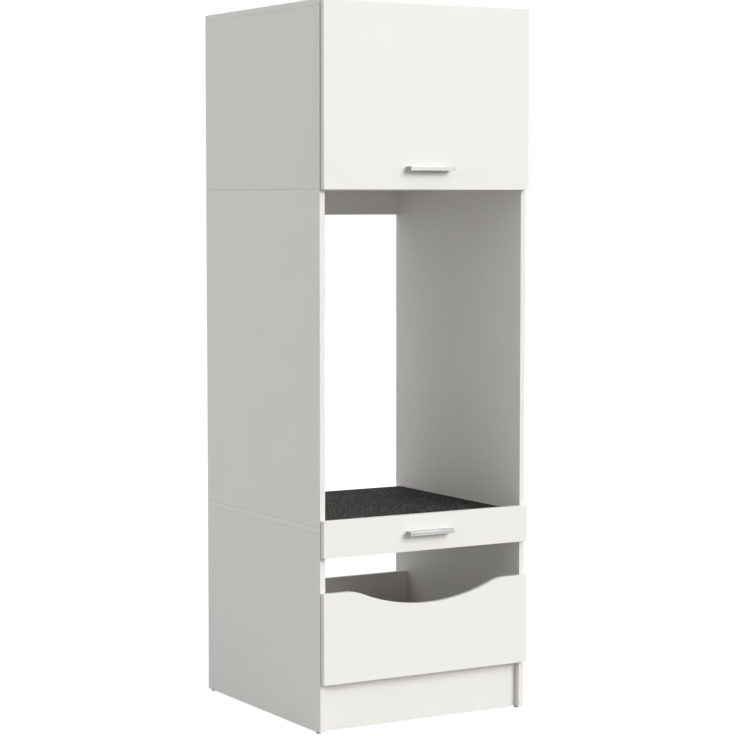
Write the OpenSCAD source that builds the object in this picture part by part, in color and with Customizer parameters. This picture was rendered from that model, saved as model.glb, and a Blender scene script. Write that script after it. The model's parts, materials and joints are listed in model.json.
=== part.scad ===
// Tall cabinet for a washing machine: a base with two pull-outs, an open bay and a flap cupboard on top.
// Millimetres, +Z up, front towards -Y. The origin is on the floor, in the middle of the outline.

/* [Cabinet] */
// Overall width of the cabinet
cabinet_w = 670; // [620:1:800]
// Depth of the side panels, without the fronts
carcass_d = 686; // [640:1:780]
// Thickness of every coated board
board_t = 16; // [15:0.5:19]
// Height of the base's side panels
base_side_h = 551; // [520:1:620]
// Height of the side panels beside the machine
bay_side_h = 920; // [860:1:980]
// Height of the flap cupboard's side panels
upper_side_h = 493; // [400:1:560]

/* [Base] */
// Height of the plinth board
plinth_h = 132; // [115:1:150]
// How far the plinth's lower edge is above those of the sides
plinth_gap = 3; // [1:0.5:10]
// How far the plinth stands behind the front edges of the sides
plinth_recess = 18; // [10:1:60]
// Height of the board that closes the back of the base
rear_board_h = 160; // [120:1:200]
// Room for hoses behind that board, less where long runners push it back
rear_board_inset = 56; // [40:1:70]
// Height of the glides under the side panels
glide_h = 4; // [3:0.5:8]
// Diameter of the glides
glide_d = 15; // [12:0.5:15]
// Distance from the glides to the ends of the side panels
glide_inset = 22; // [15:1:40]

/* [Machine bay] */
// Thickness of the rubber mat
mat_t = 4; // [2:0.5:8]
// Gap between the mat and the sides and the front edge
mat_gap = 1; // [0.5:0.5:4]
// Gap between the mat and the rear edge
mat_rear_gap = 28; // [10:1:50]
// Height of the rail across the back of the bay
bay_rail_h = 74; // [60:1:110]

/* [Flap cupboard] */
// Thickness of the back panel
back_t = 3; // [2.5:0.5:5]
// Distance from the back panel to the rear edge
back_inset = 10; // [8:1:16]
// Height of the wall fixing rail
wall_rail_h = 70; // [60:1:100]
// Distance between the two wall fixing holes
wall_hole_spacing = 500; // [400:1:520]
// Diameter of the wall fixing holes
wall_hole_d = 6.5; // [5:0.5:8]

/* [Fronts] */
// Gap between a front and the edges of the carcass
front_gap = 2; // [1.8:0.1:3]
// Gap beside the flap
flap_side_gap = 3; // [1:0.5:5]
// Gap from the flap up to the top of the cabinet
flap_top_gap = 3; // [2:0.5:5]
// Gap beside the pull-out fronts
drawer_side_gap = 2; // [1:0.5:5]
// Height of the shelf pull-out's front
shelf_front_h = 103; // [90:1:125]
// How far that front stands above the platform
shelf_lip_h = 20; // [8:1:24]
// Height of the laundry pull-out's front
laundry_front_h = 252; // [200:1:270]
// Depth of the wave cut into its top edge
wave_depth = 51; // [30:1:60]
// Half of the wave's width
wave_half_w = 262; // [220:1:275]
// Radius of the wave's hollow
wave_hollow_r = 550; // [450:1:600]
// Diameter of the buffers behind the fronts
buffer_d = 8; // [6:0.5:10]

/* [Handles] */
// Length of a handle
handle_l = 143; // [142:1:200]
// How far a handle stands off its front
handle_proj = 25; // [22:1:40]
// Height of the handle's front lip
handle_h = 12; // [10:0.5:14]
// Thickness of the handle's top plate and lip
handle_t = 3; // [2:0.5:4]
// Distance between the handle's screws
handle_pitch = 128; // [96:1:128]
// From the flap's lower edge to the middle of its handle
flap_handle_rise = 58; // [30:1:120]

/* [Runners] */
// Length of the pull-out runners
runner_l = 550; // [450:1:560]
// Side room for one runner
runner_room = 12.5; // [12.5:0.1:14]
// Diameter of the runner's rollers
roller_d = 15; // [14:0.5:18]
// Thickness of the runner's sheet steel
runner_t = 1.2; // [1:0.1:1.5]
// How far a pull-out board reaches back past its runners
board_past_runner = 6; // [2:1:20]
// Room between the laundry runner and the bottom board
laundry_runner_rise = 3.8; // [3:0.1:8]
// Height of the stop strip behind the laundry
rear_stop_h = 24; // [16:1:30]

/* [Hinges and stays] */
// From a side panel to the hinge beside it
hinge_inset = 84; // [70:1:130]
// Diameter of the hinge cup
cup_d = 35; // [35:0.5:40]
// Depth of the hinge cup
cup_depth = 12.8; // [12.8:0.1:13.5]
// From the flap's top edge to the middle of the cup
cup_edge = 21.5; // [21.5:0.1:22.5]
// Angle that the flap opens through
flap_open = 80; // [70:1:84]
// From the flap's outer face to the axis that it turns about
axis_inset = 1; // [0.5:0.1:1]
// From the flap's top edge down to that axis
axis_drop = 6; // [5:0.1:6]
// From the flap's axis back to the stay's side pivot
stay_back = 188; // [180:1:195]
// From the flap's axis down to the stay's side pivot
stay_down = 42; // [40:0.5:48]
// From the flap's axis back to the stay's flap pivot
stay_flap_back = 34; // [33:0.5:36]
// From the flap's axis down to the stay's flap pivot
stay_flap_down = 46; // [44:0.5:52]
// Outer diameter of the stay's cylinder
stay_d = 16; // [14:0.5:18]
// Diameter of the stay's rod
stay_rod_d = 8; // [6:0.5:10]

/* [Fittings] */
// Diameter of the wooden dowels
dowel_d = 8; // [6:1:8]
// Length of the wooden dowels
dowel_l = 30; // [28:1:34]
// Diameter of the cam locks
cam_d = 15; // [12:1:15]
// Depth of a cam's pocket
cam_depth = 12.5; // [12:0.1:13]
// From a board's end to the middle of the cam
cam_setback = 24; // [22:0.5:34]
// Diameter of the cam lock's bolt
bolt_d = 5; // [4:0.5:6]
// From a bolt to the dowel beside it
dowel_step = 32; // [24:1:36]
// Clearance round every dowel, cam, bolt and screw
fit_gap = 0.1; // [0.05:0.01:0.2]

/* [Hidden] */
$fn = 48;
eps = 0.01;
cut = 1;
white = [0.95, 0.945, 0.93];
steel = [0.72, 0.73, 0.74];

// Levels of the boards, from the floor up
base_z = glide_h;
bottom_z = base_z + plinth_gap + plinth_h;
platform_z = base_z + base_side_h;
bay_z = platform_z + board_t;
upper_z = bay_z + bay_side_h;
top_z = upper_z + upper_side_h;
cabinet_h = top_z + board_t;

// Plan sizes. Each piece is drawn with y = 0 at the front edges of the sides, then placed() moves it.
front_t = board_t;
inner_x = cabinet_w / 2 - board_t;
side_mid_x = cabinet_w / 2 - board_t / 2;
inner_w = 2 * inner_x;
face_y = -front_gap - front_t;
total_d = carcass_d - face_y + handle_proj;
runner_setback = 2;
pullout_w = inner_w - 2 * runner_room;
pullout_d = front_gap + runner_setback + runner_l + board_past_runner;
rear_board_gap = 10;
rear_board_y = max(carcass_d - rear_board_inset - board_t, pullout_d - front_gap + rear_board_gap);
base_bottom_d = rear_board_y + board_t;
back_y = carcass_d - back_inset - back_t;
groove_depth = 6;
groove_gap = 0.2;
x_axis = [1, 0, 0];
y_axis = [0, 1, 0];
z_axis = [0, 0, 1];

// Fittings: [point where boards meet, the bolt's direction, the side of the cam, step to the dowel]
blind_hole = 11;
dowel_grip = 10;
bolt_past = 1;
bolt_bore_d = bolt_d + 2;
first_fitting_y = 60;
edge_fitting_y = 90;
seam_dowel_y = 160;
rail_fitting_drop = 20;
bottom_fits = [for (y = [first_fitting_y, base_bottom_d - first_fitting_y - dowel_step])
    [[inner_x, y, bottom_z + board_t / 2], x_axis, -z_axis, dowel_step * y_axis]];
plinth_fits = [[[inner_x, plinth_recess + board_t / 2, bottom_z - rail_fitting_drop],
    x_axis, y_axis, -dowel_step * z_axis]];
rear_board_fits = [[
    [inner_x, rear_board_y + board_t / 2, bottom_z + board_t + rear_board_h - rail_fitting_drop],
    x_axis, y_axis, -dowel_step * z_axis
]];
bay_rail_fits = [[[inner_x, carcass_d - board_t / 2, upper_z - rail_fitting_drop],
    x_axis, y_axis, -dowel_step * z_axis]];
upper_bottom_fits = [for (y = [first_fitting_y, back_y - first_fitting_y - dowel_step])
    [[inner_x, y, upper_z + board_t / 2], x_axis, z_axis, dowel_step * y_axis]];
wall_rail_fits = [[[inner_x, back_y - board_t / 2, top_z - rail_fitting_drop],
    x_axis, -y_axis, -dowel_step * z_axis]];
edge_ys = [edge_fitting_y, carcass_d - edge_fitting_y - dowel_step];
platform_fits = [for (y = edge_ys) [[side_mid_x, y, platform_z], z_axis, -x_axis, dowel_step * y_axis]];
top_fits = [for (y = edge_ys) [[side_mid_x, y, top_z], z_axis, -x_axis, dowel_step * y_axis]];
seam_dowels = [for (z = [bay_z, upper_z], y = [seam_dowel_y, carcass_d - seam_dowel_y]) [side_mid_x, y, z]];
carcass_fits = concat(bottom_fits, plinth_fits, rear_board_fits, bay_rail_fits, upper_bottom_fits,
    wall_rail_fits, platform_fits, top_fits);

// Runners: s counts from the side panel's inner face towards the middle
roller_r = roller_d / 2;
roller_gap = 0.3;
roller_z = roller_r + roller_gap;
pull_flange_z = roller_d + 2 * roller_gap;
board_seat_z = pull_flange_z + runner_t;
flange_gap = 0.6;
upper_flange_z = board_seat_z + flange_gap;
flange_w = 10.5;
upper_flange_w = 8;
pull_flange_w = runner_room - 2;
roller_s = 2.2;
roller_w = 8;
web_s = runner_room - runner_t;
axle_d = 5;
axle_gap = 0.06;
front_roller_inset = 12;
rear_roller_inset = 20;
front_roller_y = runner_setback + front_roller_inset;
rear_roller_y = runner_setback + runner_l - rear_roller_inset;
ear_l = 30;
ear_rise = 3;
runner_screw_shares = [0.08, 0.43, 0.77];
runner_screw_ys = [for (share = runner_screw_shares) runner_setback + share * runner_l];
runner_screw_z = 9;
screw_d = 4;
screw_l = 13;
screw_head_d = 7.4;
screw_head_t = 1.7;
flat_head_t = 1;
cup_head_d = 7;
cup_head_t = 1.4;
small_head_d = 5.4;
edge_screw_d = 3.5;
edge_head_d = 7;
edge_head_t = 1.4;
shelf_front_z = bay_z + shelf_lip_h - shelf_front_h;
shelf_track_rise = 5;
shelf_track_z = shelf_front_z + shelf_track_rise;
laundry_track_z = bottom_z + board_t + laundry_runner_rise + runner_t;
shelf_board_z = shelf_track_z + board_seat_z;
laundry_board_z = laundry_track_z + board_seat_z;
pullout_fit_x = 215;
stop_inset = 2;

// Flap, its axis, cup hinges and stays. Points of the linkage are [y, z] from the flap's axis.
flap_drop = 1;
flap_z = upper_z - flap_drop;
flap_h = cabinet_h - flap_top_gap - flap_z;
axis_y = face_y + axis_inset;
axis_z = flap_z + flap_h - axis_drop;
inner_face_y = -front_gap - axis_y;
hinge_x = inner_x - hinge_inset;
cup_z = flap_z + flap_h - cup_edge;
cup_wall = 0.6;
cup_rim = 1.5;
wing_w = 60;
wing_h = 15;
wing_drop = 6;
cup_screw_x = 24;
cup_pin_depth = 5;
cup_pin_inset = 7.5;
cup_pin_y = inner_face_y - cup_pin_depth;
cup_pin_z = axis_drop - cup_edge + cup_d / 2 - cup_pin_inset;
arm_w = 12;
arm_nose_r = 3.5;
nose_gap = 0.4;
nose_reach = sqrt(pow(cup_d / 2 - cup_wall, 2) - pow(arm_w / 2, 2)) - arm_nose_r - nose_gap;
arm_pivot_z = axis_drop - cup_edge - nose_reach;
arm_pivot_y = arm_pivot_z / tan(atan2(cup_pin_z, cup_pin_y) - flap_open / 2);
link_l = norm([cup_pin_y - arm_pivot_y, cup_pin_z - arm_pivot_z]);
link_angle = atan2(cup_pin_z - arm_pivot_z, cup_pin_y - arm_pivot_y);
link_r = 2.2;
link_eye_r = 3.2;
link_t = 5;
link_side_gap = 0.3;
arm_slot = 6;
pin_d = 3;
cup_pin_d = 2.4;
plate_t = 3;
plate_y = 37;
plate_w = 48;
plate_wing = 10;
plate_l = 46;
plate_core_w = 16;
plate_screw_x = 16;
arm_top_z = top_z - plate_t;
arm_h = 11;
arm_l = 66;
arm_front_y = 3;
arm_shoulder_y = 6;
arm_neck_y = 8;
arm_heel_y = 18;
arm_bevel = 1;
arm_neck_drop = 2;
arm_slot_h = 34;
arm_slot_drop = 8;
arm_slot_ahead = 2;
arm_slot_end_y = -0.5;
stay_step = 16;
stay_x = inner_x - stay_step;
stay_from = [axis_y + stay_back, axis_z - stay_down];
stay_to = [axis_y + stay_flap_back, axis_z - stay_flap_down];
stay_l = norm(stay_to - stay_from);
stay_open_to = [
    axis_y + stay_flap_back * cos(flap_open) - stay_flap_down * sin(flap_open),
    axis_z - stay_flap_back * sin(flap_open) - stay_flap_down * cos(flap_open)
];
stay_stroke = norm(stay_open_to - stay_from) - stay_l;
stay_angle = atan2(stay_to[1] - stay_from[1], stay_to[0] - stay_from[0]);
stay_wall = 1.4;
piston_t = 6;
piston_gap = 0.1;
piston_start = 1;
stay_room = 14;
stay_cap = 8;
stay_base_t = 2;
stay_end_room = 3;
stay_bore_l = piston_t + stay_stroke + stay_end_room;
stay_tube_l = stay_base_t + stay_bore_l + stay_cap;
stay_eye_r = 6;
stay_eye_t = 9;
stay_stud_d = 6;
stay_collar_d = 10;
stay_stub_l = 3;
bracket_t = 2;
bracket_w = 30;
bracket_ear_ahead = 5;
bracket_screw_y = 10;
stay_side_gap = 0.4;

// Handles, wave and small pieces
handle_leg_w = 14;
handle_leg_t = 6.6;
handle_leg_inset = 1;
handle_screw_drop = 3.7;
handle_round = 2.5;
handle_screw_d = 4;
handle_screw_grip = 12;
handle_head_d = 8;
handle_head_t = 1.6;
shelf_handle_z = shelf_front_z + shelf_front_h / 2;
flap_handle_z = flap_z + flap_handle_rise;
handle_screw_rise = handle_h / 2 - handle_screw_drop;
buffer_gap = 0.3;
bracket_leg = 80;
bracket_leg_w = 25;
bracket_x = 270;
brace_screw_drop = 15;
brace_head_t = 1.6;
nail_d = 2.5;
nail_l = 14;
wave_angle = 2 * atan(wave_depth / wave_half_w);
wave_brow_r = wave_half_w / sin(wave_angle) - wave_hollow_r;
wave_steps = 24;

// General helpers
module placed() {
    translate([0, -total_d / 2 - face_y + handle_proj, 0]) children();
}

module both_sides() {
    children();
    mirror([1, 0, 0]) children();
}

module facing(v) {
    rotate([0, acos(v[2]), atan2(v[1], v[0])]) children();
}

module rod_along(p, v, l, d) {
    translate(p) facing(v) cylinder(d = d, h = l);
}

// A countersunk screw from p along v, or its hole with a wider clearance
module screw(p, v, l, d, head_d, head_t, clearance = 0) {
    translate(p) facing(v) {
        cylinder(d = d + 2 * clearance, h = l + clearance);
        cylinder(d1 = head_d + 2 * clearance, d2 = d + 2 * clearance, h = head_t);
    }
}

// Cam, bolt and dowel joints
module cam_board_bores(fits) {
    for (f = fits) {
        translate(f[0] - cam_setback * f[1]) facing(f[2])
            translate([0, 0, board_t / 2 - cam_depth]) cylinder(d = cam_d + 2 * fit_gap, h = cam_depth + cut);
        rod_along(f[0] + eps * f[1], -f[1], cam_setback, bolt_bore_d);
        rod_along(f[0] + f[3] + eps * f[1], -f[1], dowel_l - dowel_grip + cut, dowel_d + 2 * fit_gap);
    }
}

module mate_board_bores(fits) {
    for (f = fits) {
        rod_along(f[0] - eps * f[1], f[1], blind_hole, bolt_d + 2 * fit_gap);
        rod_along(f[0] + f[3] - eps * f[1], f[1], blind_hole, dowel_d + 2 * fit_gap);
    }
}

module fit_dowels(fits) {
    for (f = fits) rod_along(f[0] + f[3] + dowel_grip * f[1], -f[1], dowel_l, dowel_d);
}

module fit_bolts(fits) {
    for (f = fits) rod_along(f[0] + dowel_grip * f[1], -f[1], dowel_grip + cam_setback + bolt_past, bolt_d);
}

module fit_cams(fits) {
    for (f = fits) difference() {
        translate(f[0] - cam_setback * f[1]) facing(f[2])
            translate([0, 0, board_t / 2 - cam_depth + fit_gap])
                cylinder(d = cam_d, h = cam_depth - 2 * fit_gap);
        rod_along(f[0], -f[1], cam_setback + 2 * bolt_past, bolt_d + 2 * fit_gap);
    }
}

module seam_bores(z) {
    for (p = seam_dowels) if (p[2] == z)
        translate([p[0], p[1], z - blind_hole])
            cylinder(d = dowel_d + 2 * fit_gap, h = 2 * blind_hole);
}

module runner_screw_holes(track_z) {
    for (y = runner_screw_ys)
        rod_along([inner_x - eps, y, track_z + runner_screw_z], x_axis, screw_l + fit_gap,
            screw_d + 2 * fit_gap);
}

module nail_hole(y) {
    translate([side_mid_x, y, base_z - eps]) cylinder(d = nail_d + 2 * fit_gap, h = nail_l + cut);
}

// Carcass boards. A side panel is drawn for the right and mirrored for the left.
module side_panel(z, h) {
    translate([inner_x, 0, z]) cube([board_t, carcass_d, h]);
}

module base_side() {
    color(white) placed() difference() {
        side_panel(base_z, base_side_h);
        mate_board_bores(concat(bottom_fits, plinth_fits, rear_board_fits));
        cam_board_bores(platform_fits);
        for (z = [shelf_track_z, laundry_track_z]) runner_screw_holes(z);
        for (y = [glide_inset, carcass_d - glide_inset]) nail_hole(y);
    }
}

module base_side_right() {
    base_side();
}

module base_side_left() {
    mirror([1, 0, 0]) base_side();
}

module base_bottom_board() {
    color(white) placed() difference() {
        translate([-inner_x, 0, bottom_z]) cube([inner_w, base_bottom_d, board_t]);
        both_sides() cam_board_bores(bottom_fits);
    }
}

module plinth_board() {
    color(white) placed() difference() {
        translate([-inner_x, plinth_recess, base_z + plinth_gap]) cube([inner_w, board_t, plinth_h]);
        both_sides() cam_board_bores(plinth_fits);
    }
}

module base_rear_board() {
    color(white) placed() difference() {
        translate([-inner_x, rear_board_y, bottom_z + board_t]) cube([inner_w, board_t, rear_board_h]);
        both_sides() cam_board_bores(rear_board_fits);
    }
}

module platform_board() {
    color(white) placed() difference() {
        translate([-cabinet_w / 2, 0, platform_z]) cube([cabinet_w, carcass_d, board_t]);
        both_sides() {
            mate_board_bores(platform_fits);
            seam_bores(bay_z);
        }
    }
}

module anti_vibration_mat() {
    color([0.2, 0.2, 0.2]) placed() translate([-inner_x + mat_gap, mat_gap, bay_z])
        cube([inner_w - 2 * mat_gap, carcass_d - mat_gap - mat_rear_gap, mat_t]);
}

module glides() {
    color([0.1, 0.1, 0.1]) placed() both_sides() for (y = [glide_inset, carcass_d - glide_inset])
        translate([side_mid_x, y, 0]) {
            cylinder(d = glide_d, h = glide_h);
            cylinder(d = nail_d, h = glide_h + nail_l);
        }
}

module bay_side() {
    color(white) placed() difference() {
        side_panel(bay_z, bay_side_h);
        mate_board_bores(bay_rail_fits);
        seam_bores(bay_z);
        seam_bores(upper_z);
    }
}

module bay_side_right() {
    bay_side();
}

module bay_side_left() {
    mirror([1, 0, 0]) bay_side();
}

module bay_rear_rail() {
    color(white) placed() difference() {
        translate([-inner_x, carcass_d - board_t, upper_z - bay_rail_h]) cube([inner_w, board_t, bay_rail_h]);
        both_sides() cam_board_bores(bay_rail_fits);
    }
}

// The groove that holds the back panel's four edges
module back_groove() {
    translate([-inner_x - groove_depth, back_y - groove_gap, upper_z + board_t - groove_depth])
        cube([inner_w + 2 * groove_depth, back_t + 2 * groove_gap,
            upper_side_h - board_t + 2 * groove_depth]);
}

module upper_side() {
    color(white) placed() difference() {
        side_panel(upper_z, upper_side_h);
        back_groove();
        mate_board_bores(concat(upper_bottom_fits, wall_rail_fits));
        cam_board_bores(top_fits);
        seam_bores(upper_z);
        stay_bracket_holes();
    }
}

module upper_side_right() {
    upper_side();
}

module upper_side_left() {
    mirror([1, 0, 0]) upper_side();
}

module upper_bottom_board() {
    color(white) placed() difference() {
        translate([-inner_x, 0, upper_z]) cube([inner_w, carcass_d, board_t]);
        back_groove();
        both_sides() cam_board_bores(upper_bottom_fits);
    }
}

module top_board() {
    color(white) placed() difference() {
        translate([-cabinet_w / 2, 0, top_z]) cube([cabinet_w, carcass_d, board_t]);
        back_groove();
        both_sides() mate_board_bores(top_fits);
        hinge_plate_screw_set(fit_gap);
    }
}

module wall_holes() {
    both_sides() translate([wall_hole_spacing / 2, back_y - board_t - cut, top_z - wall_rail_h / 2])
        rotate([-90, 0, 0]) cylinder(d = wall_hole_d, h = board_t + back_t + 2 * cut);
}

module upper_back_panel() {
    panel_gap = 0.5;
    color(white) placed() difference() {
        translate([-inner_x - groove_depth + panel_gap, back_y, upper_z + board_t - groove_depth + panel_gap])
            cube([inner_w + 2 * (groove_depth - panel_gap), back_t,
                upper_side_h - board_t + 2 * (groove_depth - panel_gap)]);
        wall_holes();
    }
}

module wall_fixing_rail() {
    color(white) placed() difference() {
        translate([-inner_x, back_y - board_t, top_z - wall_rail_h]) cube([inner_w, board_t, wall_rail_h]);
        both_sides() cam_board_bores(wall_rail_fits);
        wall_holes();
    }
}

module dowels() {
    color("burlywood") placed() both_sides() {
        fit_dowels(carcass_fits);
        for (p = seam_dowels) translate([p[0], p[1], p[2] - dowel_grip])
            cylinder(d = dowel_d, h = 2 * dowel_grip);
    }
}

module cam_locks() {
    color(steel) placed() both_sides() fit_cams(carcass_fits);
}

module cam_bolts() {
    color(steel) placed() both_sides() fit_bolts(carcass_fits);
}

// Cup hinges
module at_hinges() {
    for (x = [-hinge_x, hinge_x]) translate([x, 0, 0]) children();
}

// Moves to the flap's axis, with x across the hinge and the linkage's [y, z] plane beside it
module at_axis() {
    translate([0, axis_y, axis_z]) children();
}

module cross_rod(p, d, w) {
    translate([-w / 2, p[0], p[1]]) rotate([0, 90, 0]) cylinder(d = d, h = w);
}

module hinge_plate_screw_set(clearance = 0) {
    at_hinges() for (x = [-plate_screw_x, plate_screw_x])
        screw([x, plate_y, top_z - plate_t], z_axis, screw_l, screw_d, screw_head_d, screw_head_t, clearance);
}

module hinge_plates() {
    color(steel) placed() difference() {
        at_hinges() {
            translate([-plate_w / 2, plate_y - plate_wing / 2, top_z - plate_t])
                cube([plate_w, plate_wing, plate_t]);
            translate([-plate_core_w / 2, plate_y - plate_l / 2, top_z - plate_t])
                cube([plate_core_w, plate_l, plate_t]);
        }
        hinge_plate_screw_set(fit_gap);
    }
}

module hinge_plate_screws() {
    color(steel) placed() hinge_plate_screw_set();
}

// The arm's side view: a bar under the mounting plate with a swan neck down to the pivot
function arm_outline() = let(
    py = axis_y + arm_pivot_y,
    pz = axis_z + arm_pivot_z,
    r = arm_nose_r
) concat(
    [[arm_l, arm_top_z], [arm_shoulder_y, arm_top_z], [arm_front_y, arm_top_z - arm_bevel]],
    [for (a = [150 : 20 : 290]) [py + r * cos(a), pz + r * sin(a)]],
    [[arm_neck_y, arm_top_z - arm_h - arm_neck_drop], [arm_heel_y, arm_top_z - arm_h],
        [arm_l, arm_top_z - arm_h]]
);

module hinge_arms() {
    color(steel) placed() at_hinges() difference() {
        translate([-arm_w / 2, 0, 0]) rotate([90, 0, 90]) linear_extrude(arm_w) polygon(arm_outline());
        translate([-arm_slot / 2, axis_y - arm_slot_ahead, axis_z + arm_pivot_z - arm_slot_drop])
            cube([arm_slot, arm_slot_end_y - axis_y + arm_slot_ahead, arm_slot_h]);
        at_axis() cross_rod([arm_pivot_y, arm_pivot_z], pin_d + fit_gap, arm_w + 2 * cut);
    }
}

module hinge_arm_pins() {
    color(steel) placed() at_hinges() at_axis() cross_rod([arm_pivot_y, arm_pivot_z], pin_d, arm_w);
}

// A link with an eye on the arm's pin. Its other end lies between the cup's two pins.
module hinge_links() {
    color(steel) placed() at_hinges() at_axis() translate([-link_t / 2, arm_pivot_y, arm_pivot_z])
        rotate([link_angle, 0, 0]) rotate([90, 0, 90]) difference() {
            linear_extrude(link_t) union() {
                circle(r = link_eye_r);
                translate([0, -link_r]) square([link_l, 2 * link_r]);
                translate([link_l, 0]) circle(r = link_r);
            }
            translate([0, 0, -cut]) cylinder(d = pin_d + 2 * axle_gap, h = link_t + 2 * cut);
        }
}

module hinge_cups() {
    color(steel) placed() at_hinges() difference() {
        translate([0, -front_gap, cup_z]) union() {
            rotate([90, 0, 0]) translate([0, 0, -cup_rim])
                cylinder(d = cup_d, h = cup_depth + cup_rim);
            translate([-wing_w / 2, 0, -wing_drop - wing_h / 2]) cube([wing_w, cup_rim, wing_h]);
        }
        translate([0, -front_gap + cup_rim + cut, cup_z]) rotate([90, 0, 0])
            cylinder(d = cup_d - 2 * cup_wall, h = cup_depth - cup_wall + cup_rim + cut);
        cup_screw_set(fit_gap);
        at_axis() cross_rod([cup_pin_y, cup_pin_z], cup_pin_d + 2 * fit_gap, cup_d + 2 * cut);
    }
}

module hinge_cup_pins() {
    pin_room = sqrt(pow(cup_d / 2, 2) - pow(axis_z + cup_pin_z - cup_z + cup_pin_d / 2, 2));
    pin_start = link_t / 2 + link_side_gap;
    color(steel) placed() at_hinges() at_axis() both_sides()
        translate([pin_start, cup_pin_y, cup_pin_z]) rotate([0, 90, 0])
            cylinder(d = cup_pin_d, h = pin_room - pin_start);
}

module cup_screw_set(clearance = 0) {
    for (x = [-cup_screw_x, cup_screw_x])
        screw([x, -front_gap + cup_rim, cup_z - wing_drop], -y_axis, screw_l, screw_d, cup_head_d, cup_head_t,
            clearance);
}

module hinge_cup_screws() {
    color(steel) placed() at_hinges() cup_screw_set();
}

// Gas stays, one beside each side panel
module along_stay() {
    translate([stay_x, stay_from[0], stay_from[1]]) rotate([stay_angle, 0, 0])
        rotate([90, 0, 90]) children();
}

module stay_bracket_holes() {
    for (y = [-bracket_screw_y, bracket_screw_y])
        rod_along([inner_x - eps, stay_from[0] + y, stay_from[1]], x_axis, screw_l + fit_gap,
            screw_d + 2 * fit_gap);
}

module stay_side_brackets() {
    color(steel) placed() both_sides() translate([inner_x, stay_from[0], stay_from[1]]) difference() {
        union() {
            translate([-bracket_t, -bracket_w / 2, -bracket_w / 2]) cube([bracket_t, bracket_w, bracket_w]);
            rotate([0, -90, 0]) cylinder(d = stay_stud_d, h = stay_step + stay_eye_t / 2);
            rotate([0, -90, 0]) cylinder(d = stay_collar_d, h = stay_step - stay_eye_t / 2 - stay_side_gap);
        }
        translate([-inner_x, -stay_from[0], -stay_from[1]]) stay_screw_set(fit_gap);
    }
}

module stay_screw_set(clearance = 0) {
    for (y = [-bracket_screw_y, bracket_screw_y])
        screw([inner_x - bracket_t, stay_from[0] + y, stay_from[1]], x_axis, screw_l, screw_d, small_head_d,
            flat_head_t, clearance);
}

module stay_bracket_screws() {
    color(steel) placed() both_sides() stay_screw_set();
}

module stay_cylinders() {
    color([0.15, 0.15, 0.16]) placed() both_sides() along_stay() difference() {
        union() {
            translate([0, 0, -stay_eye_t / 2]) cylinder(r = stay_eye_r, h = stay_eye_t);
            rotate([0, 90, 0]) cylinder(d = stay_rod_d, h = stay_room);
            translate([stay_room - stay_base_t, 0, 0]) rotate([0, 90, 0])
                cylinder(d = stay_d, h = stay_tube_l);
        }
        translate([0, 0, -stay_d]) cylinder(d = stay_stud_d + 2 * axle_gap, h = 2 * stay_d);
        translate([stay_room, 0, 0]) rotate([0, 90, 0])
            cylinder(d = stay_d - 2 * stay_wall, h = stay_bore_l);
        translate([stay_room, 0, 0]) rotate([0, 90, 0])
            cylinder(d = stay_rod_d + 2 * axle_gap, h = stay_tube_l + cut);
    }
}

module stay_rods() {
    color(steel) placed() both_sides() along_stay() {
        translate([stay_room + piston_start, 0, 0]) rotate([0, 90, 0]) {
            cylinder(d = stay_d - 2 * stay_wall - 2 * piston_gap, h = piston_t);
            cylinder(d = stay_rod_d, h = stay_l - stay_room - piston_start);
        }
        translate([stay_l, 0, -stay_eye_t / 2]) cylinder(r = stay_eye_r, h = stay_eye_t);
    }
}

// The flap's bracket carries its stud beside the rod's end
module stay_flap_brackets() {
    ear_x = stay_x - stay_eye_t / 2 - stay_side_gap - bracket_t;
    color(steel) placed() both_sides() {
        translate([ear_x, -front_gap, stay_to[1] - bracket_w / 2]) {
            cube([bracket_t, stay_to[0] + front_gap + bracket_ear_ahead, bracket_w]);
            translate([-bracket_w + bracket_t, 0, 0]) cube([bracket_w, bracket_t, bracket_w]);
        }
        translate([ear_x + bracket_t - eps, stay_to[0], stay_to[1]]) rotate([0, -90, 0])
            cylinder(d = stay_collar_d, h = bracket_t + stay_stub_l);
    }
}

// Fronts and handles
module front_board(w, z, h) {
    translate([-w / 2, face_y, z]) cube([w, front_t, h]);
}

module front_buffers(w, z) {
    color([0.85, 0.86, 0.86]) placed() both_sides()
        translate([min(w / 2, side_mid_x + board_t / 2) - buffer_d, -front_gap, z]) rotate([-90, 0, 0])
            cylinder(d = buffer_d, h = front_gap - buffer_gap);
}

module handle_holes(z) {
    both_sides() translate([handle_pitch / 2, face_y - cut, z + handle_screw_rise]) rotate([-90, 0, 0])
        cylinder(d = handle_screw_d + 2 * fit_gap, h = front_t + 2 * cut);
}

// The handle's cross section: a plate that bends down into the front lip
module handle_profile() {
    difference() {
        union() {
            translate([-handle_proj + handle_round, -handle_t])
                square([handle_proj - handle_round, handle_t]);
            translate([-handle_proj, -handle_h]) square([handle_t, handle_h - handle_round]);
            translate([-handle_proj + handle_round, -handle_round]) circle(r = handle_round);
            translate([-handle_proj + handle_t - eps, -handle_t - handle_round])
                square(handle_round + eps);
        }
        translate([-handle_proj + handle_t + handle_round, -handle_t - handle_round])
            circle(r = handle_round);
    }
}

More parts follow.
